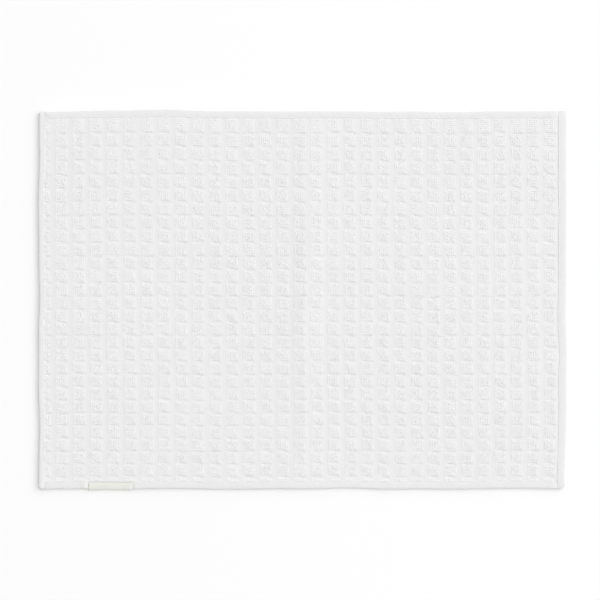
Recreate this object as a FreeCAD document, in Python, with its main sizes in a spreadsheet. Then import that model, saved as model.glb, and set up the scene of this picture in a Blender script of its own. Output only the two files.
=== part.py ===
import FreeCAD, Part
import math
import os
import Sketcher

# A terry bath mat that lies flat, in millimetres.
# X runs along its length, Y across its width and Z up from the floor.
# The origin is on the floor, under the middle of the mat.

doc = FreeCAD.newDocument("BathMat")

# ---------------------------------------------------------------- driving sizes

sizes = [
    ("mat_length", 700, "outside, edge to edge"),
    ("mat_width", 500, "outside, edge to edge"),
    ("ground_thickness", 1.2, "woven ground that carries the loops"),
    ("fold_gap", 0.3, "between the cut edge of the ground and the fold round it"),
    ("hem_thickness", 5.6, "turned hem, sewn flat"),
    ("hem_wall", 2.4, "cloth outside the cut edge of the ground"),
    ("hem_width_left", 8, "edge to inner lip"),
    ("hem_width_right", 12, "edge to inner lip"),
    ("hem_width_front", 10.6, "edge to inner lip"),
    ("hem_width_back", 9.3, "edge to inner lip"),
    ("butt_gap", 0.2, "between the end of a long hem and the side of a short one"),
    ("seam_inset", 1.2, "inner lip of a hem to the middle of its seam"),
    ("seam_channel", 1.2, "width that the seam pulls down"),
    ("seam_depth", 0.8, "how deep the seam pulls the hem in, each side"),
    ("thread_diameter", 0.6, "sewing thread"),
    ("thread_end", 3, "end of a hem to the end of its thread"),
    ("pile_gap", 0.3, "between the loops and the hem beside them"),
    ("back_base", 0.8, "short loops all over the underside"),
    ("back_rib", 1.4, "longer loops under each groove of the face"),
    ("face_base", 1.4, "short loops in the grooves of the face"),
    ("block_height", 1.2, "raised squares above the grooves"),
    ("column_pitch", 22.3, "raised squares, along the length"),
    ("column_groove", 6.6, "groove between two columns"),
    ("first_column", 7.8, "cut-off column beside the left hem"),
    ("row_pitch", 17.58, "raised squares, across the width"),
    ("row_groove", 2.4, "groove between two rows"),
    ("label_width", 57, "along the front edge"),
    ("label_from_left", 64.5, "left edge of the mat to the label"),
    ("label_to_seam", 0.6, "ends of the tape to the channel of the front seam"),
    ("label_proud", 2, "how far the fold of the tape stands out"),
    ("label_thickness", 0.3, "woven tape"),
    ("label_gap", 0.2, "round the tape where it is pressed into the hem"),
]

sheet = doc.addObject("Spreadsheet::Sheet", "Sizes")
for row, (alias, value, note) in enumerate(sizes, start=1):
    sheet.set(f"A{row}", alias)
    sheet.set(f"B{row}", str(value))
    sheet.set(f"C{row}", note)
    sheet.setAlias(f"B{row}", alias)
doc.recompute()


def size(alias):
    """The expression that reads one size from the sheet."""
    return f"Sizes.{alias}"


# ------------------------------------------- sizes that follow from those above

ground_bottom = f"({size('back_base')} + {size('back_rib')})"
ground_top = f"({ground_bottom} + {size('ground_thickness')})"
face_height = f"({size('face_base')} + {size('block_height')})"
cloth_edge = f"({size('hem_wall')} + {size('fold_gap')})"
field_length = f"({size('mat_length')} - {size('hem_width_left')} - {size('hem_width_right')})"
field_width = f"({size('mat_width')} - {size('hem_width_front')} - {size('hem_width_back')})"
pile_length = f"({field_length} - 2 * {size('pile_gap')})"
pile_width = f"({field_width} - 2 * {size('pile_gap')})"
pile_left = f"{size('hem_width_left')} + {size('pile_gap')} - {size('mat_length')} / 2"
pile_front = f"{size('hem_width_front')} + {size('pile_gap')} - {size('mat_width')} / 2"
groove_left = f"({size('first_column')} - {size('pile_gap')})"
groove_front = f"({pile_width} + {size('pile_gap')} - {size('row_pitch')} - {size('row_groove')} / 2)"
columns = f"floor(({field_length} - {size('first_column')}) / {size('column_pitch')}) + 1"
rows = f"floor({field_width} / {size('row_pitch')})"
butted = f"(2 * {size('butt_gap')})"
label_left = f"({size('label_from_left')} - {size('hem_width_left')} - {size('butt_gap')})"
seam_outside = f"({size('seam_inset')} + {size('seam_channel')} / 2)"
label_leg = f"({size('hem_width_front')} - {seam_outside} - {size('label_to_seam')})"

# A hem, its two threads and the label share one frame: X along the edge, Y inwards.
# Each side gives its corner of the mat, its length and the turn of that frame.
sides = {
    "front": {
        "x": f"{size('hem_width_left')} + {size('butt_gap')} - {size('mat_length')} / 2",
        "y": f"-{size('mat_width')} / 2",
        "length": f"({field_length} - {butted})",
        "turn": 0,
    },
    "right": {
        "x": f"{size('mat_length')} / 2",
        "y": f"-{size('mat_width')} / 2",
        "length": size("mat_width"),
        "turn": 90,
    },
    "back": {
        "x": f"{size('mat_length')} / 2 - {size('hem_width_right')} - {size('butt_gap')}",
        "y": f"{size('mat_width')} / 2",
        "length": f"({field_length} - {butted})",
        "turn": 180,
    },
    "left": {
        "x": f"-{size('mat_length')} / 2",
        "y": f"{size('mat_width')} / 2",
        "length": size("mat_width"),
        "turn": 270,
    },
}


# -------------------------------------------------------------- drawing helpers

def new_body(name, x, y, z="0", turn=0):
    """An empty body with its label, its place bound to the sheet and its turn about Z."""
    body = doc.addObject("PartDesign::Body", name)
    body.Label = name
    body.Placement.Rotation = FreeCAD.Rotation(FreeCAD.Vector(0, 0, 1), turn)
    body.setExpression("Placement.Base.x", x)
    body.setExpression("Placement.Base.y", y)
    body.setExpression("Placement.Base.z", z)
    return body


def edge_body(name, side):
    """An empty body in the frame of one side of the mat."""
    return new_body(name, sides[side]["x"], sides[side]["y"], turn=sides[side]["turn"])


def new_sketch(body, name, plane, offset="0"):
    """A sketch on one of the body's own origin planes, moved along its normal."""
    sketch = body.newObject("Sketcher::SketchObject", name)
    origin_plane = [f for f in body.Origin.OriginFeatures if f.Role == plane][0]
    sketch.AttachmentSupport = [(origin_plane, "")]
    sketch.MapMode = "FlatFace"
    sketch.setExpression("AttachmentOffset.Base.z", offset)
    return sketch


def value_of(expression):
    """The number that an expression gives now, for a sketch's first drawing."""
    return float(sheet.evalExpression(expression.replace("Sizes.", "")))


def fix_point(sketch, geometry, end, x, y):
    """Ties one point of a sketch to two expressions, measured from its origin."""
    for expression, kind, axis in ((x, "DistanceX", -2), (y, "DistanceY", -1)):
        if expression == "0":
            sketch.addConstraint(Sketcher.Constraint("PointOnObject", geometry, end, axis))
            continue
        number = sketch.addConstraint(
            Sketcher.Constraint(kind, -1, 1, geometry, end, value_of(expression))
        )
        sketch.setExpression(f"Constraints[{number}]", expression)


def draw_outline(sketch, corners, round_after=()):
    """A closed outline through the corners, each an (x, y) pair of expressions.

    After the corners numbered in round_after the line is half a circle that bulges to -X.
    """
    points = [FreeCAD.Vector(value_of(x), value_of(y), 0) for x, y in corners]
    first = sketch.GeometryCount
    ends = []
    for number, start in enumerate(points):
        finish = points[(number + 1) % len(points)]
        if number in round_after:
            middle = (start + finish) / 2
            radius = (start - finish).Length / 2
            circle = Part.Circle(middle, FreeCAD.Vector(0, 0, 1), radius)
            sketch.addGeometry(Part.ArcOfCircle(circle, math.pi / 2, 3 * math.pi / 2))
            ends.append((1, 2) if start.y > finish.y else (2, 1))
        else:
            sketch.addGeometry(Part.LineSegment(start, finish))
            ends.append((1, 2))
    for number, (x, y) in enumerate(corners):
        geometry = first + number
        after = (number + 1) % len(points)
        joint = Sketcher.Constraint(
            "Coincident", geometry, ends[number][1], first + after, ends[after][0]
        )
        sketch.addConstraint(joint)
        fix_point(sketch, geometry, ends[number][0], x, y)
        if number in round_after:
            centre = sketch.addConstraint(
                Sketcher.Constraint("DistanceX", -1, 1, geometry, 3, value_of(x))
            )
            sketch.setExpression(f"Constraints[{centre}]", x)


def draw_rectangle(sketch, x, y, length, width):
    """A rectangle from its lower left corner."""
    right = f"{x} + {length}"
    top = f"{y} + {width}"
    draw_outline(sketch, [(x, y), (right, y), (right, top), (x, top)])


def extrude(body, kind, name, sketch, length, reverse=False):
    """A pad or a pocket of one sketch."""
    feature = body.newObject(f"PartDesign::{kind}", name)
    feature.Profile = sketch
    feature.Reversed = reverse
    feature.setExpression("Length", length)
    sketch.Visibility = False
    return feature


def repeat(body, name, feature, sketch, axis, pitch, count, reverse=False):
    """The feature again and again along one axis of its sketch."""
    pattern = body.newObject("PartDesign::LinearPattern", name)
    pattern.Originals = [feature]
    pattern.Direction = (sketch, [axis])
    pattern.Reversed = reverse
    pattern.Mode = "Spacing"
    pattern.setExpression("Offset", pitch)
    pattern.setExpression("Occurrences", count)
    body.Tip = pattern
    return pattern


# ------------------------------------------------------------------ the weaving

def make_ground():
    """The woven ground, which runs into the fold of every hem."""
    body = new_body(
        "ground_cloth",
        f"{cloth_edge} - {size('mat_length')} / 2",
        f"{cloth_edge} - {size('mat_width')} / 2",
        ground_bottom,
    )
    sketch = new_sketch(body, "ground_outline", "XY_Plane")
    length = f"({size('mat_length')} - 2 * {cloth_edge})"
    width = f"({size('mat_width')} - 2 * {cloth_edge})"
    draw_rectangle(sketch, "0", "0", length, width)
    extrude(body, "Pad", "ground_pad", sketch, size("ground_thickness"))
    return body


def start_comb(name, height, bottom="0"):
    """A slab as large as the pile, for grooves or ribs in one direction."""
    body = new_body(name, "0", "0")
    outline = new_sketch(body, f"{name}_outline", "XY_Plane", bottom)
    draw_rectangle(outline, "0", "0", pile_length, pile_width)
    extrude(body, "Pad", f"{name}_pad", outline, height)
    return body


def join_combs(kind, name, columns_comb, rows_comb, z):
    """One node from the two combs: what they share, or both together."""
    pile = doc.addObject(f"Part::{kind}", name)
    pile.Label = name
    pile.Base = columns_comb
    pile.Tool = rows_comb
    pile.Refine = False
    pile.setExpression("Placement.Base.x", pile_left)
    pile.setExpression("Placement.Base.y", pile_front)
    pile.setExpression("Placement.Base.z", z)
    return pile


def make_face_pile():
    """Loops of the face: a low layer with a grid of raised squares."""
    by_column = start_comb("face_columns", face_height)
    across = new_sketch(by_column, "column_groove_outline", "XY_Plane", face_height)
    draw_rectangle(across, groove_left, "0", size("column_groove"), pile_width)
    groove = extrude(by_column, "Pocket", "column_groove", across, size("block_height"))
    repeat(by_column, "column_grooves", groove, across, "H_Axis", size("column_pitch"), columns)

    by_row = start_comb("face_rows", face_height)
    along = new_sketch(by_row, "row_groove_outline", "XY_Plane", face_height)
    draw_rectangle(along, "0", groove_front, pile_length, size("row_groove"))
    groove = extrude(by_row, "Pocket", "row_groove", along, size("block_height"))
    repeat(by_row, "row_grooves", groove, along, "V_Axis", size("row_pitch"), rows, reverse=True)
    return join_combs("Common", "face_pile", by_column, by_row, ground_top)


def make_back_pile():
    """Loops of the underside: the face's relief in reverse, ribs where the face has grooves.

    The last rib may pass the edge of the pile, so each comb is cut off there.
    """
    by_column = start_comb("back_columns", size("back_base"), size("back_rib"))
    across = new_sketch(by_column, "column_rib_outline", "XY_Plane")
    draw_rectangle(across, groove_left, "0", size("column_groove"), pile_width)
    rib = extrude(by_column, "Pad", "column_rib", across, ground_bottom)
    repeat(by_column, "column_ribs", rib, across, "H_Axis", size("column_pitch"), columns)
    right = new_sketch(by_column, "right_trim_outline", "XY_Plane")
    draw_rectangle(right, pile_length, "0", size("column_groove"), pile_width)
    extrude(by_column, "Pocket", "right_trim", right, ground_bottom, reverse=True)

    by_row = start_comb("back_rows", size("back_base"), size("back_rib"))
    along = new_sketch(by_row, "row_rib_outline", "XY_Plane")
    draw_rectangle(along, "0", groove_front, pile_length, size("row_groove"))
    rib = extrude(by_row, "Pad", "row_rib", along, ground_bottom)
    repeat(by_row, "row_ribs", rib, along, "V_Axis", size("row_pitch"), rows, reverse=True)
    front = new_sketch(by_row, "front_trim_outline", "XY_Plane")
    draw_rectangle(front, "0", f"(-{size('row_groove')})", pile_length, size("row_groove"))
    extrude(by_row, "Pocket", "front_trim", front, ground_bottom, reverse=True)
    return join_combs("Fuse", "back_pile", by_column, by_row, "0")


# ----------------------------------------------------------------------- edges

def make_hem(side):
    """One turned hem: a fold round the ground's edge, pulled in along its seam."""
    body = edge_body(f"hem_{side}", side)
    width = size(f"hem_width_{side}")
    top = size("hem_thickness")
    nose = f"({top} / 2)"
    channel_in = f"({width} - {size('seam_inset')} + {size('seam_channel')} / 2)"
    channel_out = f"({width} - {seam_outside})"
    pulled_top = f"({top} - {size('seam_depth')})"
    section = new_sketch(body, f"hem_{side}_section", "YZ_Plane")
    corners = [
        (nose, top),
        (nose, "0"),
        (channel_out, "0"),
        (channel_out, size("seam_depth")),
        (channel_in, size("seam_depth")),
        (channel_in, "0"),
        (width, "0"),
        (width, ground_bottom),
        (size("hem_wall"), ground_bottom),
        (size("hem_wall"), ground_top),
        (width, ground_top),
        (width, top),
        (channel_in, top),
        (channel_in, pulled_top),
        (channel_out, pulled_top),
        (channel_out, top),
    ]
    draw_outline(section, corners, round_after=[0])
    extrude(body, "Pad", f"hem_{side}_pad", section, sides[side]["length"])
    return body


def press_label_in(body):
    """The shallow seat under the front hem that takes the lower end of the tape."""
    seat = new_sketch(body, "label_seat_outline", "XY_Plane")
    start = f"({label_left} - {size('label_gap')})"
    length = f"({size('label_width')} + 2 * {size('label_gap')})"
    draw_rectangle(seat, start, "0", length, f"({label_leg} + {size('label_gap')})")
    extrude(body, "Pocket", "label_seat", seat, size("label_thickness"), reverse=True)


def make_thread(name, side, middle):
    """One sewing thread laid along the seam, with its middle at the given height."""
    body = edge_body(f"{name}_{side}", side)
    section = new_sketch(body, f"{name}_{side}_section", "YZ_Plane", size("thread_end"))
    line = f"({size('hem_width_' + side)} - {size('seam_inset')})"
    start = FreeCAD.Vector(value_of(line), value_of(middle), 0)
    circle = Part.Circle(start, FreeCAD.Vector(0, 0, 1), value_of(size("thread_diameter")) / 2)
    section.addGeometry(circle)
    fix_point(section, 0, 3, line, middle)
    number = section.addConstraint(
        Sketcher.Constraint("Diameter", 0, value_of(size("thread_diameter")))
    )
    section.setExpression(f"Constraints[{number}]", size("thread_diameter"))
    length = f"({sides[side]['length']} - 2 * {size('thread_end')})"
    extrude(body, "Pad", f"{name}_{side}_pad", section, length)
    return body


def make_label():
    """A blank tape folded round the front hem, with its fold standing proud of the edge."""
    body = edge_body("care_label", "front")
    section = new_sketch(body, "label_section", "YZ_Plane", label_left)
    low = size("label_thickness")
    top = size("hem_thickness")
    outside = f"({top} + {low})"
    fold = f"({outside} / 2 - {size('label_proud')})"
    corners = [
        (fold, outside),
        (fold, "0"),
        (label_leg, "0"),
        (label_leg, low),
        (fold, low),
        (fold, top),
        (label_leg, top),
        (label_leg, outside),
    ]
    draw_outline(section, corners, round_after=[0, 4])
    extrude(body, "Pad", "label_pad", section, size("label_width"))
    return body


# --------------------------------------------------------------------- the mat

needle_middle = f"({size('hem_thickness')} - {size('seam_depth')} + {size('thread_diameter')} / 2)"
bobbin_middle = f"({size('seam_depth')} - {size('thread_diameter')} / 2)"

parts = [make_ground(), make_face_pile(), make_back_pile()]
for side in sides:
    hem = make_hem(side)
    if side == "front":
        press_label_in(hem)
    parts.append(hem)
    parts.append(make_thread("needle_thread", side, needle_middle))
    parts.append(make_thread("bobbin_thread", side, bobbin_middle))
parts.append(make_label())
doc.recompute()

for item in doc.Objects:
    if "Invalid" in item.State or "Error" in item.State:
        raise SystemExit(f"{item.Label} failed: {item.State}")

os.makedirs("parts", exist_ok=True)
for part in parts:
    shape = part.Shape
    if shape.isNull() or not shape.isValid() or len(shape.Solids) != 1:
        raise SystemExit(f"{part.Label} isn't one valid solid")
    shape.exportStep(f"parts/{part.Label}.step")
    print(f"{part.Label}: {shape.Volume:.1f} mm3")
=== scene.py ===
import math

import bmesh
import bpy
import numpy as np
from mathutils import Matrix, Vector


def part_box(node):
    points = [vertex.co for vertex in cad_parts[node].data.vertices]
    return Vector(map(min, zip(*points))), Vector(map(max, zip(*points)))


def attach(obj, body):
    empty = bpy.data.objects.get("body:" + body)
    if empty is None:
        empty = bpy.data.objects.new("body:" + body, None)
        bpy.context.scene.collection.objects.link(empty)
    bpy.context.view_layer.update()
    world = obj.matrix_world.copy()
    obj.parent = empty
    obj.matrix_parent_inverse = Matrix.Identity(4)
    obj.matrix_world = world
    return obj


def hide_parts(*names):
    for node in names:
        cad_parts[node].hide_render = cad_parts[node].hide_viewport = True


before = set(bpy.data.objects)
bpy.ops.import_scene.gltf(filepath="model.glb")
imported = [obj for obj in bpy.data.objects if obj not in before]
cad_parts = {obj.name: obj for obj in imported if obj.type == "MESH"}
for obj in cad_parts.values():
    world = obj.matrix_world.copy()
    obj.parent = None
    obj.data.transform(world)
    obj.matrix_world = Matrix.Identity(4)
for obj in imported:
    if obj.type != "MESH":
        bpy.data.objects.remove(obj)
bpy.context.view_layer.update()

mm = 0.001

# The mat is worked out flat, in millimetres, and then laid down by one shared function.
# X runs along the length, Y across the width, and the front edge has the label.


def boxOf(node):
    low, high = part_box(node)
    return np.array(low) / mm, np.array(high) / mm


groundLow, groundHigh = boxOf("ground_cloth")
hems = {side: boxOf("hem_" + side) for side in ("front", "right", "back", "left")}
labelLow, labelHigh = boxOf("care_label")

mat = {
    "left": hems["left"][0][0],
    "right": hems["right"][1][0],
    "front": hems["front"][0][1],
    "back": hems["back"][1][1],
}
field = {
    "left": hems["left"][1][0],
    "right": hems["right"][0][0],
    "front": hems["front"][1][1],
    "back": hems["back"][0][1],
}


def smoothStep(low, high, value):
    t = np.clip((value - low) / (high - low), 0, 1)
    return t * t * (3 - 2 * t)


# how the cloth lies

lie = {
    "rowDrift": 6.9,  # rows are wider apart in the back half, narrower in the front half
    "columnDrift": 3.6,  # the same from left to right
    "slant": 0.7,  # the columns lean to the left towards the back
    "wander": 0.45,  # slow sideways drift of the weave
    "wobble": 0.32,  # quicker drift, about three squares long
    "tug": 1.0,  # single squares are pulled out of line
    "tugSize": 12.0,  # a little less than one square
    "swell": 0.55,  # how far the cloth lifts off the floor in broad waves
    "foldRise": 1.3,  # soft ridge where it was folded in half
    "foldAt": 1.0,  # where the ridge runs, from the middle
    "foldHalf": 17,  # half its breadth
    "foldWaver": 2.5,
    "frontRightCut": 5.5,  # this corner is pulled in on the slant
    "backRightCut": 3.0,
    "backLeftCut": 2.2,
    "frontLeftCut": 3.0,
    "frontLeftRise": 2.6,  # this corner is curled up a little
    "frontLeftReach": 11,
    "bowReach": 90,  # how far in from an edge its bow is felt
    "backBow": (1.8, -176, 85),  # how far the edge bows out, where, and half its length
    "rightBows": ((1.0, 160, 34), (1.0, -72, 34), (-2.0, -232, 26)),
}


def cloudy(x, y, cell, seed):
    # smooth uneven noise between -1 and 1, one random value for each cell
    table = np.random.default_rng(seed).random((128, 128)) * 2 - 1
    u, v = x / cell + 64, y / cell + 64
    i, j = np.floor(u).astype(int), np.floor(v).astype(int)
    u, v = smoothStep(0, 1, u - i), smoothStep(0, 1, v - j)
    near = table[j, i] * (1 - u) + table[j, i + 1] * u
    far = table[j + 1, i] * (1 - u) + table[j + 1, i + 1] * u
    return near * (1 - v) + far * v


def cutCorner(x, y, cornerX, cornerY, cut):
    # points past the slanted line across a corner are moved back onto it
    inX = np.abs(x - cornerX)
    inY = np.abs(y - cornerY)
    over = np.clip(cut - inX - inY, 0, None) / 2
    x = x - np.sign(cornerX) * over
    y = y - np.sign(cornerY) * over
    return x, y


def layDown(points):
    points = np.asarray(points, float)
    x, y, z = points[:, 0].copy(), points[:, 1].copy(), points[:, 2].copy()
    across = (mat["back"] - y) / (mat["back"] - mat["front"])
    edgeX = np.minimum(x - mat["left"], mat["right"] - x)
    edgeY = np.minimum(y - mat["front"], mat["back"] - y)
    for cornerX, cornerY, cut in (
        (mat["right"], mat["front"], lie["frontRightCut"]),
        (mat["right"], mat["back"], lie["backRightCut"]),
        (mat["left"], mat["back"], lie["backLeftCut"]),
        (mat["left"], mat["front"], lie["frontLeftCut"]),
    ):
        x, y = cutCorner(x, y, cornerX, cornerY, cut)
    # slow and quick waves added up
    moveX = lie["wander"] * np.sin(y / 31 + 1.3 * np.sin(x / 90))
    moveX += lie["wobble"] * np.sin(y / 13.7 + x / 60)
    moveY = lie["wander"] * np.sin(x / 43 + 0.7) + lie["wobble"] * np.sin(x / 17.3 + y / 70 + 2)
    moveY -= lie["rowDrift"] * np.clip(1 - np.abs(2 * across - 0.9) ** 1.7, 0, 1) * smoothStep(8, 22, edgeY)
    drift = lie["columnDrift"] * np.clip(1 - np.abs(x / 330) ** 1.6, 0, 1) + 0.3
    moveX += (drift - lie["slant"] * y / mat["back"]) * smoothStep(6, 20, edgeX)
    inside = smoothStep(8, 20, np.minimum(edgeX, edgeY))
    moveX += lie["tug"] * cloudy(x, y, lie["tugSize"], 1) * inside
    moveY += lie["tug"] * cloudy(x, y, lie["tugSize"], 2) * inside
    # the back edge bows out towards its left, the right edge in and out
    size, middle, half = lie["backBow"]
    nearBack = np.exp(-(mat["back"] - y) / lie["bowReach"])
    moveY += size * np.exp(-(((x - middle) / half) ** 2)) * nearBack
    nearRight = np.exp(-(mat["right"] - x) / lie["bowReach"])
    for size, middle, half in lie["rightBows"]:
        moveX += size * np.exp(-(((y - middle) / half) ** 2)) * nearRight
    rise = lie["swell"] * (1 + np.sin(x / 85 + 0.4) * np.sin(y / 70 + 1.1))
    ridge = 0.75 + 0.25 * np.sin(y / 95 + 0.8)
    fold = np.abs(x - lie["foldAt"] - lie["foldWaver"] * np.sin(y / 120)) / lie["foldHalf"]
    rise += lie["foldRise"] * ridge * np.exp(-(fold**1.5))
    fromCorner = np.hypot(x - mat["left"], y - mat["front"])
    rise += lie["frontLeftRise"] * np.exp(-((fromCorner / lie["frontLeftReach"]) ** 2))
    rise *= smoothStep(-14, 26, edgeX) * smoothStep(-14, 26, edgeY) * 0.6 + 0.4
    return np.stack([x + moveX, y + moveY, z + rise], axis=1)


# small helpers for meshes and nodes


def meshFrom(name, points, faces, laid=True):
    points = layDown(points) if laid else np.asarray(points, float)
    mesh = bpy.data.meshes.new(name)
    mesh.from_pydata((points * mm).tolist(), [], faces)
    mesh.update()
    mesh.shade_smooth()
    piece = bpy.data.objects.new(name, mesh)
    bpy.context.scene.collection.objects.link(piece)
    return piece


def addNode(tree, kind, options=None, values=None, links=None):
    node = tree.nodes.new(kind)
    for key, value in (options or {}).items():
        setattr(node, key, value)
    for key, value in (values or {}).items():
        node.inputs[key].default_value = value
    for key, socket in (links or {}).items():
        tree.links.new(socket, node.inputs[key])
    return node


def newTree(name, inputs):
    # a geometry tree with named inputs; returns it with its input node and identifiers
    tree = bpy.data.node_groups.new(name, "GeometryNodeTree")
    tree.interface.new_socket(name="Geometry", in_out="INPUT", socket_type="NodeSocketGeometry")
    tree.interface.new_socket(name="Geometry", in_out="OUTPUT", socket_type="NodeSocketGeometry")
    keys = {}
    for label, kind in inputs.items():
        socket = tree.interface.new_socket(name=label, in_out="INPUT", socket_type=kind)
        keys[label] = socket.identifier
    return tree, addNode(tree, "NodeGroupInput").outputs, keys


def dropEmptySlots(mesh):
    index = np.empty(len(mesh.polygons), dtype=np.int32)
    mesh.polygons.foreach_get("material_index", index)
    kept = [material for material in mesh.materials if material]
    order = [kept.index(material) if material else 0 for material in mesh.materials]
    mesh.materials.clear()
    for material in kept:
        mesh.materials.append(material)
    mesh.polygons.foreach_set("material_index", np.array(order, dtype=np.int32)[index])


def applyTree(piece, tree, keys, values):
    # runs the tree on the piece and keeps the result as a plain mesh
    modifier = piece.modifiers.new(tree.name, "NODES")
    modifier.node_group = tree
    for label, value in values.items():
        modifier[keys[label]] = value
    depsgraph = bpy.context.evaluated_depsgraph_get()
    evaluated = piece.evaluated_get(depsgraph)
    mesh = bpy.data.meshes.new_from_object(evaluated, depsgraph=depsgraph)
    mesh.name = piece.name
    piece.modifiers.clear()
    piece.data = mesh
    dropEmptySlots(mesh)
    return piece


def linearColour(hexText):
    # sRGB hex to the linear values that nodes take
    parts = [int(hexText[i : i + 2], 16) / 255 for i in (1, 3, 5)]
    return [c / 12.92 if c <= 0.04045 else ((c + 0.055) / 1.055) ** 2.4 for c in parts] + [1.0]


# materials


def clothMaterial(name, look):
    # shared body of every cotton finish: mottled colour, fibre fuzz and a fine bump
    material = bpy.data.materials.new(name)
    material.use_nodes = True
    tree = material.node_tree
    shader = tree.nodes["Principled BSDF"]
    shader.inputs["Specular IOR Level"].default_value = 0.25
    shader.inputs["Sheen Weight"].default_value = look["fuzz"]
    shader.inputs["Sheen Roughness"].default_value = 0.5
    place = addNode(tree, "ShaderNodeTexCoord").outputs["Object"]
    mottle = addNode(
        tree,
        "ShaderNodeTexNoise",
        values={"Scale": 1 / (look["mottle"] * mm), "Detail": 3, "Roughness": 0.6},
        links={"Vector": place},
    )
    fibre = addNode(
        tree,
        "ShaderNodeTexNoise",
        values={"Scale": 1 / (look["fibre"] * mm), "Detail": 2, "Roughness": 0.7},
        links={"Vector": place},
    )
    both = addNode(
        tree,
        "ShaderNodeMath",
        {"operation": "MULTIPLY_ADD"},
        {1: 0.4},
        {0: mottle.outputs["Fac"], 2: fibre.outputs["Fac"]},
    )
    colour = addNode(
        tree,
        "ShaderNodeMapRange",
        {"data_type": "FLOAT"},
        {"From Min": 0.45, "From Max": 0.95},
        {"Value": both.outputs[0]},
    )
    mix = addNode(
        tree,
        "ShaderNodeMix",
        {"data_type": "RGBA"},
        {6: linearColour(look["low"]), 7: linearColour(look["high"])},
        {0: colour.outputs["Result"]},
    )
    rough = addNode(
        tree,
        "ShaderNodeMapRange",
        values={"To Min": look["rough"] - 0.08, "To Max": look["rough"]},
        links={"Value": fibre.outputs["Fac"]},
    )
    tree.links.new(rough.outputs["Result"], shader.inputs["Roughness"])
    tree.links.new(mix.outputs[2], shader.inputs["Base Color"])
    return material, tree, shader, place, fibre


def bumpWith(tree, shader, height, depth, strength=1.0):
    bump = addNode(
        tree,
        "ShaderNodeBump",
        values={"Strength": strength, "Distance": depth * mm},
        links={"Height": height},
    )
    tree.links.new(bump.outputs["Normal"], shader.inputs["Normal"])


def wovenHeight(tree, place, spacing, turn=0.0):
    # over and under of a plain weave: two sets of threads that cross
    mapping = addNode(
        tree, "ShaderNodeMapping", values={"Rotation": (0, 0, turn)}, links={"Vector": place}
    )
    waves = []
    for direction in ("X", "Y"):
        waves.append(
            addNode(
                tree,
                "ShaderNodeTexWave",
                {"wave_type": "BANDS", "bands_direction": direction, "wave_profile": "SIN"},
                {"Scale": math.pi / (10 * spacing * mm), "Distortion": 0.6, "Detail": 1},
                {"Vector": mapping.outputs["Vector"]},
            ).outputs["Fac"]
        )
    return addNode(
        tree, "ShaderNodeMath", {"operation": "MULTIPLY"}, links={0: waves[0], 1: waves[1]}
    ).outputs[0]


# Ring-spun cotton, uncut loops: very matte, soft-edged, a little uneven in whiteness.
yarnLook = {"low": "#F0F0F0", "high": "#F6F6F6", "mottle": 16, "fibre": 0.9, "rough": 1.0, "fuzz": 0.2}
terryYarn, tree, shader, place, fibre = clothMaterial("cottonTerryYarn", yarnLook)
bumpWith(tree, shader, fibre.outputs["Fac"], 0.25, 0.35)  # ply of the yarn, real 0.4 mm, drawn 0.9

# Plain-woven cotton ground between the loops. Threads 0.7 mm apart, drawn at 1.4 so that they show.
groundLook = {"low": "#ECECEC", "high": "#F2F2F2", "mottle": 20, "fibre": 1.1, "rough": 0.98, "fuzz": 0.1}
groundWeave, tree, shader, place, fibre = clothMaterial("cottonGroundWeave", groundLook)
bumpWith(tree, shader, wovenHeight(tree, place, 1.4), 0.3, 0.8)

# Flat-woven edge band, turned and pressed: denser and smoother. Threads 0.5 mm, drawn at 1.1.
bandLook = {"low": "#E8E8E8", "high": "#F0F0F0", "mottle": 14, "fibre": 1.0, "rough": 0.95, "fuzz": 0.1}
hemBand, tree, shader, place, fibre = clothMaterial("cottonHemBand", bandLook)
bumpWith(tree, shader, wovenHeight(tree, place, 1.1, math.radians(45)), 0.22, 0.7)

# Spun polyester sewing thread: two plies, a slight shine.
threadLook = {"low": "#EFEFEF", "high": "#FBFBFB", "mottle": 8, "fibre": 0.5, "rough": 0.75, "fuzz": 0.05}
sewingThread, tree, shader, place, fibre = clothMaterial("spunSewingThread", threadLook)
bumpWith(tree, shader, fibre.outputs["Fac"], 0.12, 0.5)

# Cream woven tape, blank, with fine cross ribs. Ribs 0.4 mm apart, drawn at 0.9.
tapeLook = {"low": "#E8E8E1", "high": "#EFEFE9", "mottle": 9, "fibre": 0.7, "rough": 0.7, "fuzz": 0.08}
labelTape, tree, shader, place, fibre = clothMaterial("creamWovenTape", tapeLook)
bumpWith(tree, shader, wovenHeight(tree, place, 0.9), 0.12, 0.6)

print("materials made")

# the grid of raised squares, read by both piles

grid = {
    "columnPitch": 22.3,
    "columnGroove": 6.6,
    "firstColumn": 7.8,
    "rowPitch": 17.58,
    "rowGroove": 2.4,
    "underHem": 1.1,  # how far the hems are sewn over the edge of the piles
}


def stripes(low, high, grooves):
    # the raised stripes between grooves, each a (start, end) pair
    edges = [low]
    for start, end in grooves:
        edges += [max(start, low), min(end, high)]
    edges.append(high)
    pairs = zip(edges[0::2], edges[1::2])
    return [(a, b) for a, b in pairs if b - a > 0.5]


fieldLow = np.array([field["left"], field["front"]]) - grid["underHem"]
fieldHigh = np.array([field["right"], field["back"]]) + grid["underHem"]
columnGrooves = []
start = field["left"] + grid["firstColumn"]
while start < fieldHigh[0]:
    columnGrooves.append((start, start + grid["columnGroove"]))
    start += grid["columnPitch"]
rowGrooves = []
middle = field["back"] - grid["rowPitch"]
while middle > fieldLow[1]:
    rowGrooves.insert(0, (middle - grid["rowGroove"] / 2, middle + grid["rowGroove"] / 2))
    middle -= grid["rowPitch"]
columnStripes = stripes(fieldLow[0], fieldHigh[0], columnGrooves)
rowStripes = stripes(fieldLow[1], fieldHigh[1], rowGrooves)
print(len(columnStripes), "columns and", len(rowStripes), "rows of squares")


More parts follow.
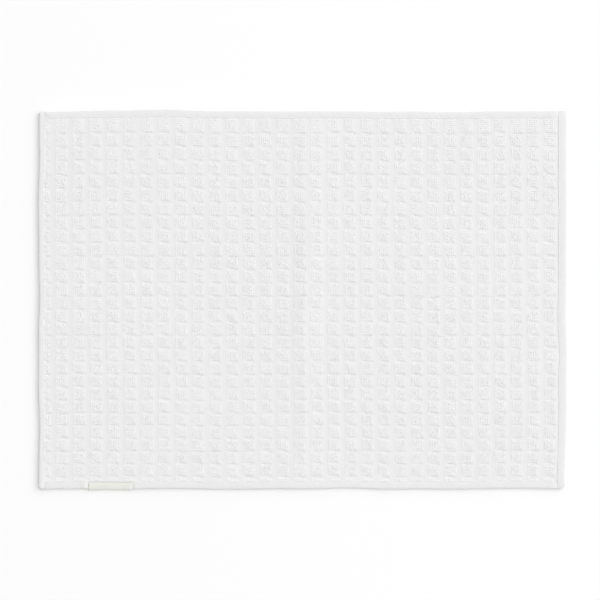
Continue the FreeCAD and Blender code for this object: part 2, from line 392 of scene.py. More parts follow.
def linesFor(bands, low, high, spacing, shoulder, gapCells):
    # grid lines over raised bands and the gaps between them, with a flag where a loop is rooted
    lines, roots = [], []
    place = low
    for start, end in bands:
        gap = start - place
        for step in range(1 if place > low else 0, gapCells if gap > 0.1 else 0):
            lines.append(place + gap * step / gapCells)
            roots.append(False)
        lines += [start, start + shoulder]
        roots += [False, False]
        count = max(1, round((end - start) / spacing))
        for number in range(count):
            lines.append(start + (end - start) * (number + 0.5) / count)
            roots.append(True)
        lines += [end - shoulder, end]
        roots += [False, False]
        place = end
    if high - place > 0.1:
        for step in range(1, gapCells + 1):
            lines.append(place + (high - place) * step / gapCells)
            roots.append(False)
    return np.array(lines), np.array(roots)


def raisedShare(lines, bands, softness):
    # 0 in a gap, rising to 1 inside each band
    share = np.zeros(len(lines))
    for start, end in bands:
        inside = (lines >= start - 1e-9) & (lines <= end + 1e-9)
        depth = np.minimum(lines - start, end - lines)
        share[inside] = 1 - np.exp(-np.clip(depth[inside], 0, None) / softness)
    return share


def reliefPiece(name, xLines, yLines, heights, baseZ, up, coarse=6):
    # a closed slab whose outer side carries the relief; its inner side is a coarser grid
    nx, ny = len(xLines), len(yLines)
    gx, gy = np.meshgrid(xLines, yLines)
    top = np.stack([gx.ravel(), gy.ravel(), (baseZ + up * heights).ravel()], axis=1)
    ix = sorted(set(range(0, nx, coarse)) | {nx - 1})
    iy = sorted(set(range(0, ny, coarse)) | {ny - 1})
    cx, cy = np.meshgrid(xLines[ix], yLines[iy])
    under = np.stack([cx.ravel(), cy.ravel(), np.full(cx.size, baseZ)], axis=1)
    faces = []
    for j in range(ny - 1):
        for i in range(nx - 1):
            a = j * nx + i
            faces.append((a, a + 1, a + nx + 1, a + nx))
    first = nx * ny
    mx, my = len(ix), len(iy)
    for j in range(my - 1):
        for i in range(mx - 1):
            a = first + j * mx + i
            faces.append((a, a + mx, a + mx + 1, a + 1))
    for k in range(mx - 1):
        span = range(ix[k], ix[k + 1] + 1)
        a, b = first + k, first + k + 1
        faces.append((a, b, *[i for i in reversed(span)]))
        a, b = first + (my - 1) * mx + k, first + (my - 1) * mx + k + 1
        faces.append((b, a, *[(ny - 1) * nx + i for i in span]))
    for k in range(my - 1):
        span = range(iy[k], iy[k + 1] + 1)
        a, b = first + k * mx, first + (k + 1) * mx
        faces.append((b, a, *[j * nx for j in span]))
        a, b = first + k * mx + mx - 1, first + (k + 1) * mx + mx - 1
        faces.append((a, b, *[j * nx + nx - 1 for j in reversed(span)]))
    if up < 0:
        faces = [tuple(reversed(face)) for face in faces]
    return meshFrom(name, np.concatenate([top, under]), faces)


# loops of yarn, grown on a relief wherever its "loop" attribute says so


def makeLoopTree():
    inputs = {
        "Loop Width": "NodeSocketFloat",
        "Loop Height": "NodeSocketFloat",
        "Yarn Radius": "NodeSocketFloat",
        "Lean": "NodeSocketFloat",
        "Segments": "NodeSocketInt",
        "Seed": "NodeSocketInt",
        "Yarn Material": "NodeSocketMaterial",
    }
    tree, given, keys = newTree("terryLoops", inputs)
    half = addNode(
        tree, "ShaderNodeMath", {"operation": "MULTIPLY"}, {1: 0.5}, {0: given["Loop Width"]}
    )
    # an open arch in the XZ plane, a little more than half a turn so that it pinches at the foot
    arch = addNode(
        tree,
        "GeometryNodeCurveArc",
        values={"Start Angle": math.radians(-22), "Sweep Angle": math.radians(224)},
        links={"Resolution": given["Segments"], "Radius": half.outputs[0]},
    )
    tall = addNode(
        tree, "ShaderNodeMath", {"operation": "DIVIDE"}, links={0: given["Loop Height"], 1: half.outputs[0]}
    )
    stretch = addNode(tree, "ShaderNodeCombineXYZ", values={"X": 1, "Z": 1}, links={"Y": tall.outputs[0]})
    arch = addNode(
        tree,
        "GeometryNodeTransform",
        links={"Geometry": arch.outputs["Curve"], "Scale": stretch.outputs[0]},
    )
    arch = addNode(
        tree,
        "GeometryNodeTransform",
        values={"Rotation": (math.pi / 2, 0, 0)},
        links={"Geometry": arch.outputs[0]},
    )
    ring = addNode(
        tree,
        "GeometryNodeCurvePrimitiveCircle",
        values={"Resolution": 3},
        links={"Radius": given["Yarn Radius"]},
    )
    loop = addNode(
        tree,
        "GeometryNodeCurveToMesh",
        values={"Fill Caps": True},
        links={"Curve": arch.outputs[0], "Profile Curve": ring.outputs["Curve"]},
    )
    rooted = addNode(
        tree, "GeometryNodeInputNamedAttribute", {"data_type": "FLOAT"}, {"Name": "loop"}
    )
    # upright on the cloth, turned any way, leaning a little, no two quite the same size
    normal = addNode(tree, "GeometryNodeInputNormal")
    upright = addNode(
        tree,
        "FunctionNodeAlignRotationToVector",
        {"axis": "Z"},
        links={"Vector": normal.outputs["Normal"]},
    )
    lean = addNode(
        tree,
        "ShaderNodeVectorMath",
        {"operation": "SCALE"},
        {0: (1, 1, 0)},
        {"Scale": given["Lean"]},
    )
    most = addNode(
        tree,
        "ShaderNodeVectorMath",
        {"operation": "ADD"},
        {1: (0, 0, math.pi)},
        {0: lean.outputs["Vector"]},
    )
    least = addNode(
        tree,
        "ShaderNodeVectorMath",
        {"operation": "SCALE"},
        {"Scale": -1.0},
        {0: most.outputs["Vector"]},
    )
    turn = addNode(
        tree,
        "FunctionNodeRandomValue",
        {"data_type": "FLOAT_VECTOR"},
        links={0: least.outputs["Vector"], 1: most.outputs["Vector"], "Seed": given["Seed"]},
    )
    spin = addNode(tree, "FunctionNodeEulerToRotation", links={"Euler": turn.outputs["Value"]})
    spin = addNode(
        tree,
        "FunctionNodeRotateRotation",
        {"rotation_space": "LOCAL"},
        links={"Rotation": upright.outputs["Rotation"], "Rotate By": spin.outputs["Rotation"]},
    )
    uneven = addNode(
        tree,
        "FunctionNodeRandomValue",
        {"data_type": "FLOAT_VECTOR"},
        {0: (0.9, 0.9, 0.85), 1: (1.1, 1.1, 1.1)},
        {"Seed": given["Seed"]},
    )
    size = addNode(
        tree,
        "ShaderNodeVectorMath",
        {"operation": "SCALE"},
        links={0: uneven.outputs["Value"], "Scale": rooted.outputs["Attribute"]},
    )
    grown = addNode(
        tree,
        "GeometryNodeInstanceOnPoints",
        links={
            "Points": given["Geometry"],
            "Selection": rooted.outputs["Attribute"],
            "Instance": loop.outputs["Mesh"],
            "Rotation": spin.outputs["Rotation"],
            "Scale": size.outputs["Vector"],
        },
    )
    real = addNode(tree, "GeometryNodeRealizeInstances", links={"Geometry": grown.outputs[0]})
    yarn = addNode(
        tree,
        "GeometryNodeSetMaterial",
        links={"Geometry": real.outputs[0], "Material": given["Yarn Material"]},
    )
    both = addNode(tree, "GeometryNodeJoinGeometry")
    tree.links.new(yarn.outputs[0], both.inputs[0])
    tree.links.new(given["Geometry"], both.inputs[0])
    smooth = addNode(tree, "GeometryNodeSetShadeSmooth", links={"Geometry": both.outputs[0]})
    addNode(tree, "NodeGroupOutput", links={"Geometry": smooth.outputs[0]})
    return tree, keys


loopTree, loopKeys = makeLoopTree()


def growLoops(piece, roots, raised, loop, seed):
    # a loop is as large as its "loop" value says: smaller round the rim of a square
    # the cloth is woven ground in the grooves and yarn where it is raised
    piece.data.materials.append(groundWeave)
    piece.data.materials.append(terryYarn)
    corner = np.minimum(raised[:-1, :-1], raised[1:, 1:])
    index = np.zeros(len(piece.data.polygons), dtype=np.int32)
    index[: corner.size] = (corner > 0.05).ravel()
    piece.data.polygons.foreach_set("material_index", index)
    flags = np.zeros(len(piece.data.vertices), dtype=np.float32)
    flags[: roots.size] = (roots * (loop["rim"] + (1 - loop["rim"]) * raised)).ravel()
    attribute = piece.data.attributes.new("loop", "FLOAT", "POINT")
    attribute.data.foreach_set("value", flags)
    values = {
        "Loop Width": loop["width"] * mm,
        "Loop Height": loop["height"] * mm,
        "Yarn Radius": loop["yarn"] * mm,
        "Lean": math.radians(loop["lean"]),
        "Segments": loop["segments"],
        "Seed": seed,
        "Yarn Material": terryYarn,
    }
    applyTree(piece, loopTree, loopKeys, values)


# loops of the face, in bands of three rows so that no piece is too heavy

facePile = {
    "floor": 1.45,  # cloth and low nubs in the grooves
    "cushion": 0.1,  # how far the squares are raised under their loops
    "rowSink": 0.85,  # the rows of squares are parted, more in some than others
    "upToHem": 3.0,  # the cut-off front row keeps its height under the hem
    "sinkRunOut": 5.0,  # from the side of a square to the full depth of the parting
    "softness": 1.3,  # how roundly a square rises from its rim
    "shoulder": 0.45,  # from the rim to the first line inside it
    "spacing": 2.15,  # real loops stand 1.5 mm apart, drawn wider to keep the mesh light
    "jitter": 0.32,
    "unevenness": 0.16,  # squares differ in height, more so at the back left
    "crushed": 0.35,  # the most that a square there is flattened as well
    "crushedRows": 7,
    "crushedColumns": 9,
    "leftFuller": 1.12,  # squares are fuller at the left than at the right
    "fallToRight": 0.24,
    "leastParted": 0.6,  # the share of rowSink that every square gets
    "nubs": 0.1,  # small unevenness all over the cloth
    "columnGapCells": 3,  # mesh cells across a groove
    "rowGapCells": 2,
    "rowsInBand": 3,
    "loop": {"width": 2.2, "height": 0.34, "yarn": 0.5, "lean": 7, "segments": 5, "rim": 0.55},
}

random = np.random.default_rng(41)
squareHeight = 1 - facePile["unevenness"] * random.random((len(rowStripes), len(columnStripes)))
rowNumber, columnNumber = np.indices(squareHeight.shape)
rowsFromBack = (len(rowStripes) - rowNumber) / facePile["crushedRows"]
flatness = np.exp(-(rowsFromBack**2) - (columnNumber / facePile["crushedColumns"]) ** 2)
squareHeight -= facePile["crushed"] * flatness * random.random(squareHeight.shape)
squareHeight *= facePile["leftFuller"] - facePile["fallToRight"] * columnNumber / len(columnStripes)
parted = facePile["leastParted"] + (1 - facePile["leastParted"]) * random.random(squareHeight.shape)


def bandOf(lines, bands):
    # the number of the band that each line lies in, or the nearest one
    middles = np.array([(a + b) / 2 for a, b in bands])
    return np.abs(lines[:, None] - middles[None, :]).argmin(axis=1)


faceXLines, faceXRoots = linesFor(
    columnStripes,
    fieldLow[0],
    fieldHigh[0],
    facePile["spacing"],
    facePile["shoulder"],
    facePile["columnGapCells"],
)
faceX = raisedShare(faceXLines, columnStripes, facePile["softness"])
columnOf = bandOf(faceXLines, columnStripes)
fromSide = np.zeros(len(faceXLines))
for start, end in columnStripes:
    fromSide = np.maximum(fromSide, np.minimum(faceXLines - start, end - faceXLines))
sinkAcross = smoothStep(0, facePile["sinkRunOut"], fromSide)

pilePieces = []
for bandStart in range(0, len(rowStripes), facePile["rowsInBand"]):
    rows = rowStripes[bandStart : bandStart + facePile["rowsInBand"]]
    lastRow = bandStart + len(rows) - 1
    low = fieldLow[1] if bandStart == 0 else (rowStripes[bandStart - 1][1] + rows[0][0]) / 2
    high = (
        fieldHigh[1]
        if lastRow == len(rowStripes) - 1
        else (rows[-1][1] + rowStripes[lastRow + 1][0]) / 2
    )
    yLines, yRoots = linesFor(
        rows, low, high, facePile["spacing"], facePile["shoulder"], facePile["rowGapCells"]
    )
    if bandStart > 0:
        yLines = np.concatenate([[low], yLines])
        yRoots = np.concatenate([[False], yRoots])
    standing = list(rows)
    if bandStart == 0:
        standing[0] = (rows[0][0] - facePile["upToHem"], rows[0][1])
    faceY = raisedShare(yLines, standing, facePile["softness"])
    share = faceY[:, None] * faceX[None, :]
    rowOf = bandStart + bandOf(yLines, rows)
    heights = facePile["floor"] + facePile["cushion"] * share * squareHeight[rowOf][:, columnOf]
    sink = facePile["rowSink"] * (1 - faceY)[:, None] ** 2 * sinkAcross[None, :]
    heights -= sink * parted[rowOf][:, columnOf]
    heights += facePile["nubs"] * random.random(heights.shape)
    roots = yRoots[:, None] & faceXRoots[None, :]
    name = f"facePileBand{len(pilePieces) + 1:02d}"
    piece = reliefPiece(name, faceXLines, yLines, heights, groundHigh[2], 1)
    shift = (random.random((roots.size, 2)) - 0.5) * 2 * facePile["jitter"] * mm
    moved = roots.ravel()[:, None] * shift
    co = np.empty(len(piece.data.vertices) * 3, dtype=np.float32)
    piece.data.vertices.foreach_get("co", co)
    co = co.reshape(-1, 3)
    co[: roots.size, :2] += moved
    piece.data.vertices.foreach_set("co", co.ravel())
    growLoops(piece, roots, share, facePile["loop"], len(pilePieces))
    pilePieces.append(piece)
print("face pile:", len(pilePieces), "bands,", sum(len(p.data.polygons) for p in pilePieces), "faces")

# loops of the underside, where the relief is the other way round

backPile = {
    "floor": 0.7,
    "cushion": 0.75,
    "softness": 0.9,
    "shoulder": 0.6,
    "spacing": 3.0,  # seen less, so drawn wider still
    "rowsInBand": 7,
    "nubs": 0.1,
    "gapCells": 5,  # mesh cells across a sunken square
    "loop": {"width": 2.3, "height": 0.9, "yarn": 0.5, "lean": 20, "segments": 4, "rim": 0.7},
}


def gapsAsBands(grooves, low, high):
    return [(max(a, low), min(b, high)) for a, b in grooves if min(b, high) - max(a, low) > 0.5]


def clearOfFloor(piece):
    # what would reach through the floor is pressed flat on it
    co = np.empty(len(piece.data.vertices) * 3, dtype=np.float32)
    piece.data.vertices.foreach_get("co", co)
    co[2::3] = np.maximum(co[2::3], 0.00002)
    piece.data.vertices.foreach_set("co", co)
    piece.data.update()


columnRibs = gapsAsBands(columnGrooves, fieldLow[0], fieldHigh[0])
rowRibs = gapsAsBands(rowGrooves, fieldLow[1], fieldHigh[1])
backXLines, backXRoots = linesFor(
    columnRibs,
    fieldLow[0],
    fieldHigh[0],
    backPile["spacing"],
    backPile["shoulder"],
    backPile["gapCells"],
)
backX = raisedShare(backXLines, columnRibs, backPile["softness"])
backPieces = []
for bandStart in range(0, len(rowRibs), backPile["rowsInBand"]):
    rows = rowRibs[bandStart : bandStart + backPile["rowsInBand"]]
    lastRow = bandStart + len(rows) - 1
    low = fieldLow[1] if bandStart == 0 else (rowRibs[bandStart - 1][1] + rows[0][0]) / 2
    high = (
        fieldHigh[1] if lastRow == len(rowRibs) - 1 else (rows[-1][1] + rowRibs[lastRow + 1][0]) / 2
    )
    yLines, yRoots = linesFor(
        rows, low, high, backPile["spacing"], backPile["shoulder"], backPile["gapCells"]
    )
    if bandStart > 0:
        yLines = np.concatenate([[low], yLines])
        yRoots = np.concatenate([[False], yRoots])
    backY = raisedShare(yLines, rows, backPile["softness"])
    share = np.maximum(backX[None, :], backY[:, None])
    heights = backPile["floor"] + backPile["cushion"] * share
    heights += backPile["nubs"] * random.random(heights.shape)
    # a loop stands where either rib has one, so both kinds of line may carry it
    alongColumn = backXRoots[None, :] & (np.arange(len(yLines)) % 2 == 0)[:, None]
    alongRow = yRoots[:, None] & (np.arange(len(backXLines)) % 2 == 0)[None, :]
    roots = alongColumn | alongRow
    name = f"backPileBand{len(backPieces) + 1:02d}"
    piece = reliefPiece(name, backXLines, yLines, heights, groundLow[2], -1)
    growLoops(piece, roots, share, backPile["loop"], 100 + len(backPieces))
    clearOfFloor(piece)
    backPieces.append(piece)
print("back pile:", len(backPieces), "bands,", sum(len(p.data.polygons) for p in backPieces), "faces")

# woven ground: one closed sheet that runs into the fold of each hem

ground = {"cell": 7.0}  # about the side of one face of its mesh


def gridLines(low, high, cell):
    return np.linspace(low, high, max(2, round((high - low) / cell) + 1))


groundX = gridLines(groundLow[0], groundHigh[0], ground["cell"])
groundY = gridLines(groundLow[1], groundHigh[1], ground["cell"])
evenThickness = np.full((len(groundY), len(groundX)), groundHigh[2] - groundLow[2])
groundCloth = reliefPiece("groundCloth", groundX, groundY, evenThickness, groundLow[2], 1, coarse=1)
groundCloth.data.materials.append(groundWeave)

# turned hems

hem = {
    "station": 2.0,  # along the edge
    "fold": 1.5,  # how sharply the edge is folded
    "tuck": 0.6,  # the ends of the front and back hems are caught under the other two
    "seamInset": 1.2,
    "seamPull": 0.25,  # how deep the stitches draw the cloth in
    "dipOutside": 1.1,  # the dip that they make begins this far outside the seam
    "dipInside": 0.75,  # and ends this far inside it
    "stitchPitch": 3.0,
    "roping": 0.13,  # slanting ripples that a turned hem takes when it is sewn
    "ropingPitch": 8.5,
    "wander": 0.35,
    "seamWave": 23,  # larger is slower: the waves of the inner edge and of its seam
    "edgeWave": 31,
    "thinning": 0.4,
    "thinningWave": 17,
    "endRound": 4.0,
    "endPress": 0.22,  # how much lower the butted ends are sewn, under the side of the long hem
    "endPressRun": 9,
    "endShare": 0.7,  # thickness left at the rounded ends of the side hems
    "labelPress": 0.22,  # how much the label flattens the hem
    "labelBulge": 0.6,  # how far the edge stands out just past its ends
    "labelRidge": 0.5,  # and how far it rises there
    "slack": 0.03,  # room round the cloth inside the fold
    "foldPoints": 9,
}


def ripple(s, seed, length):
    # a smooth, uneven wave between -1 and 1
    wave = np.sin(s / length + seed) + 0.7 * np.sin(s / (length * 0.43) + 2.1 * seed)
    return (wave + 0.5 * np.sin(s / (length * 0.19) + 3.7 * seed)) / 2.2


def alongSide(side, s, t):
    # local run and inset to the flat plan; the four sides go round anticlockwise
    low, high = hems[side]
    if side == "front":
        return low[0] + s, mat["front"] + t
    if side == "right":
        return mat["right"] - t, low[1] + s
    if side == "back":
        return high[0] - s, mat["back"] - t
    return mat["left"] + t, high[1] - s


def labelPress(side, s):
    # 1 along the label, fading out just past its ends, with a small bulge there
    if side != "front":
        return np.zeros_like(s), np.zeros_like(s)
    x = hems["front"][0][0] + s
    inside = smoothStep(labelLow[0] - 3, labelLow[0] + 2, x)
    inside *= 1 - smoothStep(labelHigh[0] - 2, labelHigh[0] + 3, x)
    bulge = np.exp(-(((x - labelLow[0] + 5) / 3.5) ** 2))
    bulge += np.exp(-(((x - labelHigh[0] - 5) / 3.5) ** 2))
    return inside, bulge


def tidyNormals(piece):
    work = bmesh.new()
    work.from_mesh(piece.data)
    bmesh.ops.recalc_face_normals(work, faces=work.faces)
    work.to_mesh(piece.data)
    work.free()
    piece.data.shade_smooth()


def makeHem(side, seed):
    low, high = hems[side]
    length = high[0] - low[0] if side in ("front", "back") else high[1] - low[1]
    width = high[1] - low[1] if side in ("front", "back") else high[0] - low[0]
    thick = high[2]
    tuck = hem["tuck"] if side in ("front", "back") else 0
    s = gridLines(-tuck, length + tuck, hem["station"])
    press, bulge = labelPress(side, s)
    inner = width + hem["wander"] * ripple(s, seed, hem["seamWave"])
    outer = hem["wander"] * ripple(s, seed + 1, hem["edgeWave"]) - hem["labelBulge"] * bulge
    if side in ("left", "right"):
        fromEnd = np.minimum(s, length - s)
        rounding = np.sqrt(1 - np.clip(1 - fromEnd / hem["endRound"], 0, 1) ** 2)
        shrink = hem["endShare"] + (1 - hem["endShare"]) * rounding
    else:
        fromEnd = np.minimum(s + tuck, length + tuck - s)
        shrink = 1 - hem["endPress"] * (1 - smoothStep(0, hem["endPressRun"], fromEnd))
    shrink = shrink * (1 - hem["labelPress"] * press)
    thinning = hem["thinning"] * (0.5 + 0.5 * ripple(s, seed + 2, hem["thinningWave"]))
    top = thick - thinning + hem["labelRidge"] * bulge
    seam = inner - hem["seamInset"]
    dipStart, dipEnd = seam - hem["dipOutside"], seam + hem["dipInside"]
    pull = hem["seamPull"] * (1 + 0.25 * np.sin(2 * np.pi * s / hem["stitchPitch"]))
    slotLow = groundLow[2] - hem["slack"]
    slotHigh = groundHigh[2] + hem["slack"]
    slotEnd = groundLow[0] - mat["left"] - 0.2
    rings = []
    for angle in np.radians(np.linspace(90, 270, hem["foldPoints"])):
        rings.append((outer + hem["fold"] * (1 + math.cos(angle)), 0.5 + 0.5 * math.sin(angle)))
    lowSide = [(dipStart, 0.0), (seam, pull / thick), (dipEnd, 0.02), (inner, 0.07)]
    rings += lowSide
    section = [(t, top * z) for t, z in rings]
    section += [(inner, slotLow), (slotEnd, slotLow), (slotEnd, slotHigh), (inner, slotHigh)]
    upSide = [(inner, 0.9), (dipEnd, 0.96), (seam, 1 - pull / thick), (dipStart, 1.0)]
    section += [(t, top * z) for t, z in upSide]
    flatFrom = outer + hem["fold"]
    for share in (0.7, 0.35):
        section.append((flatFrom + (dipStart - flatFrom) * share, top * 1.015))
    points = []
    middle = (slotLow + slotHigh) / 2
    for t, z in section:
        t = np.broadcast_to(t, s.shape).astype(float)
        z = np.broadcast_to(z, s.shape).astype(float)
        rope = hem["roping"] * np.sin(2 * np.pi * (s + 0.8 * t) / hem["ropingPitch"] + seed)
        rope *= np.clip((z - slotHigh) / (thick - slotHigh), 0, 1) * smoothStep(0, 2, width - t)
        isSlot = (np.abs(z - slotLow) < 1e-6) | (np.abs(z - slotHigh) < 1e-6)
        z = np.where(isSlot, z, middle + (z - middle) * shrink + rope)
        x, y = alongSide(side, s, t)
        points.append(np.stack([x, y, z], axis=1))
    points = np.stack(points, axis=1)
    count, around = points.shape[:2]
    faces = []
    for i in range(count - 1):
        for k in range(around):
            a, b = i * around + k, i * around + (k + 1) % around
            faces.append((a, b, b + around, a + around))
    faces.append(tuple(range(around)))
    faces.append(tuple(reversed(range((count - 1) * around, count * around))))
    piece = meshFrom(f"hem{side.capitalize()}", points.reshape(-1, 3), faces)
    tidyNormals(piece)
    clearOfFloor(piece)
    piece.data.materials.append(hemBand)
    return piece


def hemPhase(number):
    return 1.7 * number + 0.4


hemPieces = {side: makeHem(side, hemPhase(number)) for number, side in enumerate(hems)}
print("hems made")

# lockstitches along each seam, needle thread above and bobbin thread below

stitch = {
    "pitch": hem["stitchPitch"],
    "length": 2.7,
    "rise": 0.32,
    "thread": 0.3,
    "endInset": 3.0,
    "needleDrop": 0.1,  # the needle thread is pulled into the cloth
    "bobbinDrop": 0.25,  # the bobbin thread lies looser, below it
}


def makeStitchTree():
    inputs = {
        "Count": "NodeSocketInt",
        "Pitch": "NodeSocketFloat",
        "Stitch Length": "NodeSocketFloat",
        "Rise": "NodeSocketFloat",
        "Thread Radius": "NodeSocketFloat",
        "Seed": "NodeSocketInt",
        "Material": "NodeSocketMaterial",
    }
    tree, given, keys = newTree("lockstitches", inputs)
    step = addNode(tree, "ShaderNodeCombineXYZ", links={"X": given["Pitch"]})
    line = addNode(
        tree, "GeometryNodeMeshLine", links={"Count": given["Count"], "Offset": step.outputs[0]}
    )
    half = addNode(
        tree, "ShaderNodeMath", {"operation": "MULTIPLY"}, {1: 0.5}, {0: given["Stitch Length"]}
    )
    back = addNode(
        tree, "ShaderNodeMath", {"operation": "MULTIPLY"}, {1: -0.5}, {0: given["Stitch Length"]}
    )
    down = addNode(tree, "ShaderNodeMath", {"operation": "MULTIPLY"}, {1: -1.2}, {0: given["Rise"]})
    over = addNode(tree, "ShaderNodeMath", {"operation": "MULTIPLY"}, {1: 2.2}, {0: given["Rise"]})
    start = addNode(
        tree, "ShaderNodeCombineXYZ", links={"X": back.outputs[0], "Z": down.outputs[0]}
    )
    crest = addNode(tree, "ShaderNodeCombineXYZ", links={"Z": over.outputs[0]})
    end = addNode(tree, "ShaderNodeCombineXYZ", links={"X": half.outputs[0], "Z": down.outputs[0]})
    curve = addNode(
        tree,
        "GeometryNodeCurveQuadraticBezier",
        values={"Resolution": 4},
        links={"Start": start.outputs[0], "Middle": crest.outputs[0], "End": end.outputs[0]},
    )
    ring = addNode(
        tree,
        "GeometryNodeCurvePrimitiveCircle",
        values={"Resolution": 5},
        links={"Radius": given["Thread Radius"]},
    )
    one = addNode(
        tree,
        "GeometryNodeCurveToMesh",
        values={"Fill Caps": True},
        links={"Curve": curve.outputs[0], "Profile Curve": ring.outputs["Curve"]},
    )
    turn = addNode(
        tree,
        "FunctionNodeRandomValue",
        {"data_type": "FLOAT_VECTOR"},
        {0: (0, -0.03, -0.07), 1: (0, 0.03, 0.07)},
        {"Seed": given["Seed"]},
    )
    placed = addNode(
        tree,
        "GeometryNodeInstanceOnPoints",
        links={"Points": line.outputs[0], "Instance": one.outputs[0], "Rotation": turn.outputs[0]},
    )
    real = addNode(tree, "GeometryNodeRealizeInstances", links={"Geometry": placed.outputs[0]})
    smooth = addNode(tree, "GeometryNodeSetShadeSmooth", links={"Geometry": real.outputs[0]})
    done = addNode(
        tree,
        "GeometryNodeSetMaterial",
        links={"Geometry": smooth.outputs[0], "Material": given["Material"]},
    )
    addNode(tree, "NodeGroupOutput", links={"Geometry": done.outputs[0]})
    return tree, keys


stitchTree, stitchKeys = makeStitchTree()


def sewSeam(name, side, number, phase, under):
    low, high = hems[side]
    length = high[0] - low[0] if side in ("front", "back") else high[1] - low[1]
    width = high[1] - low[1] if side in ("front", "back") else high[0] - low[0]
    run = length - 2 * stitch["endInset"]
    piece = meshFrom(name, np.zeros((1, 3)), [], laid=False)
    values = {
        "Count": int(run // stitch["pitch"]),
        "Pitch": stitch["pitch"] * mm,
        "Stitch Length": stitch["length"] * mm,
        "Rise": stitch["rise"] * mm,
        "Thread Radius": stitch["thread"] * mm,
        "Seed": number,
        "Material": sewingThread,
    }
    applyTree(piece, stitchTree, stitchKeys, values)
    co = np.empty(len(piece.data.vertices) * 3, dtype=np.float32)
    piece.data.vertices.foreach_get("co", co)
    co = co.reshape(-1, 3).astype(float) / mm
    s = co[:, 0] + stitch["endInset"] + stitch["length"] / 2
    seamLine = width - hem["seamInset"] + hem["wander"] * ripple(s, phase, hem["seamWave"])
    t = seamLine + co[:, 1] * (-1 if under else 1)
    if under:
        z = hem["seamPull"] - stitch["bobbinDrop"] - co[:, 2]
    else:
        z = high[2] - hem["seamPull"] - stitch["needleDrop"] + co[:, 2]
    x, y = alongSide(side, s, t)
    laid = layDown(np.stack([x, y, z], axis=1)) * mm
    piece.data.vertices.foreach_set("co", laid.astype(np.float32).ravel())
    piece.data.update()
    tidyNormals(piece)
    clearOfFloor(piece)
    return piece


threadPieces = []
for number, side in enumerate(hems):
    for kind, under in (("needle", False), ("bobbin", True)):
        name = f"{kind}Thread{side.capitalize()}"
        piece = sewSeam(name, side, number, hemPhase(number), under)
        threadPieces.append((piece, f"{kind}_thread_{side}"))
print("stitches:", sum(len(p.data.polygons) for p, node in threadPieces), "faces")

# care label: a blank tape folded round the front hem

label = {
    "stations": 34,
    "thick": 0.3,
    "topLeg": [(8.2, 5.3), (6.6, 5.45), (5.0, 5.4), (3.4, 5.25), (2.0, 5.05)],
    "underLeg": [(2.4, 0.5), (4.0, 0.38), (5.8, 0.34), (7.4, 0.36)],
    "foldMiddle": (1.0, 2.65),
    "foldHalf": (2.9, 2.15),
    "foldPoints": 9,
    "wave": 0.14,
    "endGap": 0.2,  # kept free at each end of its place
    "foldAtMiddle": 0.86,  # the fold stands out most at the two ends
    "foldWaver": 0.04,
}


def makeLabel():
    line = list(label["topLeg"])
    for angle in np.radians(np.linspace(95, 265, label["foldPoints"])):
        line.append(
            (
                label["foldMiddle"][0] + label["foldHalf"][0] * math.cos(angle),
                label["foldMiddle"][1] + label["foldHalf"][1] * math.sin(angle),
            )
        )
    line = np.array(line + label["underLeg"])
    along = np.gradient(line, axis=0)
    along /= np.linalg.norm(along, axis=1)[:, None]
    outward = np.stack([along[:, 1], -along[:, 0]], axis=1)
    half = label["thick"] / 2
    ring = np.concatenate([line + outward * half, (line - outward * half)[::-1]])
    run = np.linspace(labelLow[0] + label["endGap"], labelHigh[0] - label["endGap"], label["stations"])
    middle = (labelLow[0] + labelHigh[0]) / 2
    points = []
    for x in run:
        share = (x - middle) / (labelHigh[0] - middle)
        # the tape waves a little between its ends
        reach = label["foldAtMiddle"] + (1 - label["foldAtMiddle"]) * share**2
        reach += label["foldWaver"] * math.sin(x / 4.1)
        t = np.where(ring[:, 0] < 1, 1 + (ring[:, 0] - 1) * reach, ring[:, 0])
        z = ring[:, 1] + label["wave"] * math.sin(x / 5.3 + 0.5) * np.clip(ring[:, 1] / 5, 0, 1)
        t = t + 0.25 * math.sin(x / 9.0 + 1) * (ring[:, 0] > 5)
        points.append(np.stack([np.full(len(t), x), mat["front"] + t, z], axis=1))
    points = np.array(points)
    count, around = points.shape[:2]
    faces = []
    for i in range(count - 1):
        for k in range(around):
            a, b = i * around + k, i * around + (k + 1) % around
            faces.append((a, b, b + around, a + around))
    for i in (0, count - 1):
        for k in range(len(line) - 1):
            a = i * around + k
            b = i * around + around - 1 - k
            faces.append((a, a + 1, b - 1, b))
    piece = meshFrom("careLabel", points.reshape(-1, 3), faces)
    tidyNormals(piece)
    clearOfFloor(piece)
    piece.data.materials.append(labelTape)
    return piece


labelPiece = makeLabel()
print("label made")

# what each piece stands for and rides on

for piece in pilePieces:
    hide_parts("face_pile")
for piece in backPieces:
    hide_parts("back_pile")
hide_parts("ground_cloth")
for side, piece in hemPieces.items():
    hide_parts(f"hem_{side}")
for piece, node in threadPieces:
    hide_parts(node)
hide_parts("care_label")

sewnOn = pilePieces + backPieces + list(hemPieces.values())
sewnOn += [piece for piece, node in threadPieces] + [labelPiece]
for piece in sewnOn + [groundCloth]:
    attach(piece, "root")

# cut 20 mm larger all round than the finished mat, for the turned hems

# floor, light and camera

studio = {
    "floorHalf": 20.0,
    "floorColour": "#FBFBFB",
    "skyStrength": 1.41,
    "skyFrom": (0.56, 0.31, 0.77),  # the sky is brightest on this side
    "skyFocus": 1.6,
    "keyPlace": (4.4, 1.0, 3.8),
    "keySize": 2.7,
    "keyPower": 58,
    "viewWidth": 0.7960,
    "distance": 3.2,
    "sensor": 36,
    "aim": (-0.00366, 0.00033),
}


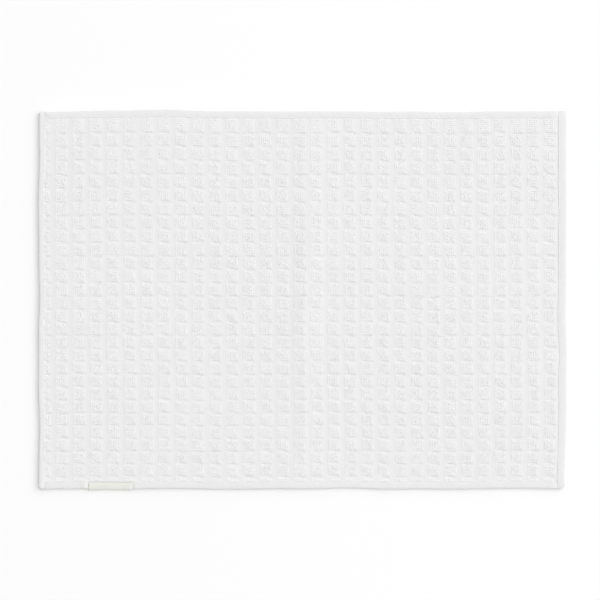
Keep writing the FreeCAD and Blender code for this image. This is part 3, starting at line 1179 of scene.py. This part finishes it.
def makeFloor():
    half = studio["floorHalf"]
    corners = [(-half, -half, 0), (half, -half, 0), (half, half, 0), (-half, half, 0)]
    mesh = bpy.data.meshes.new("studioFloor")
    mesh.from_pydata(corners, [], [(0, 1, 2, 3)])
    floor = bpy.data.objects.new("studioFloor", mesh)
    bpy.context.scene.collection.objects.link(floor)
    material = bpy.data.materials.new("paleFloor")
    material.use_nodes = True
    shader = material.node_tree.nodes["Principled BSDF"]
    shader.inputs["Base Color"].default_value = linearColour(studio["floorColour"])
    shader.inputs["Roughness"].default_value = 1.0
    shader.inputs["Specular IOR Level"].default_value = 0.0
    mesh.materials.append(material)


makeFloor()

world = bpy.data.worlds.new("softSky")
world.use_nodes = True
sky = world.node_tree.nodes["Background"]
sky.inputs["Color"].default_value = (1, 1, 1, 1)
towards = addNode(
    world.node_tree,
    "ShaderNodeVectorMath",
    {"operation": "DOT_PRODUCT"},
    {1: studio["skyFrom"]},
    {0: addNode(world.node_tree, "ShaderNodeTexCoord").outputs["Generated"]},
)
share = addNode(
    world.node_tree,
    "ShaderNodeMath",
    {"operation": "MULTIPLY_ADD", "use_clamp": True},
    {1: 0.5, 2: 0.5},
    {0: towards.outputs["Value"]},
)
share = addNode(
    world.node_tree,
    "ShaderNodeMath",
    {"operation": "POWER"},
    {1: studio["skyFocus"]},
    {0: share.outputs[0]},
)
share = addNode(
    world.node_tree,
    "ShaderNodeMath",
    {"operation": "MULTIPLY"},
    {1: studio["skyStrength"]},
    {0: share.outputs[0]},
)
world.node_tree.links.new(share.outputs[0], sky.inputs["Strength"])
bpy.context.scene.world = world


def addPanel(name, place, size, power, colour=(1, 1, 1)):
    data = bpy.data.lights.new(name, "AREA")
    data.shape = "SQUARE"
    data.size = size
    data.energy = power
    data.color = colour
    light = bpy.data.objects.new(name, data)
    bpy.context.scene.collection.objects.link(light)
    light.location = place
    direction = -light.location
    light.rotation_euler = direction.to_track_quat("-Z", "Y").to_euler()


addPanel("keyPanel", studio["keyPlace"], studio["keySize"], studio["keyPower"])

lens = bpy.data.cameras.new("topCamera")
lens.type = "PERSP"
lens.sensor_width = studio["sensor"]
lens.lens = studio["sensor"] * studio["distance"] / studio["viewWidth"]
lens.clip_end = 50
camera = bpy.data.objects.new("topCamera", lens)
bpy.context.scene.collection.objects.link(camera)
camera.location = (studio["aim"][0], studio["aim"][1], studio["distance"])
bpy.context.scene.camera = camera
bpy.context.scene.view_settings.view_transform = "Standard"
print("studio set")
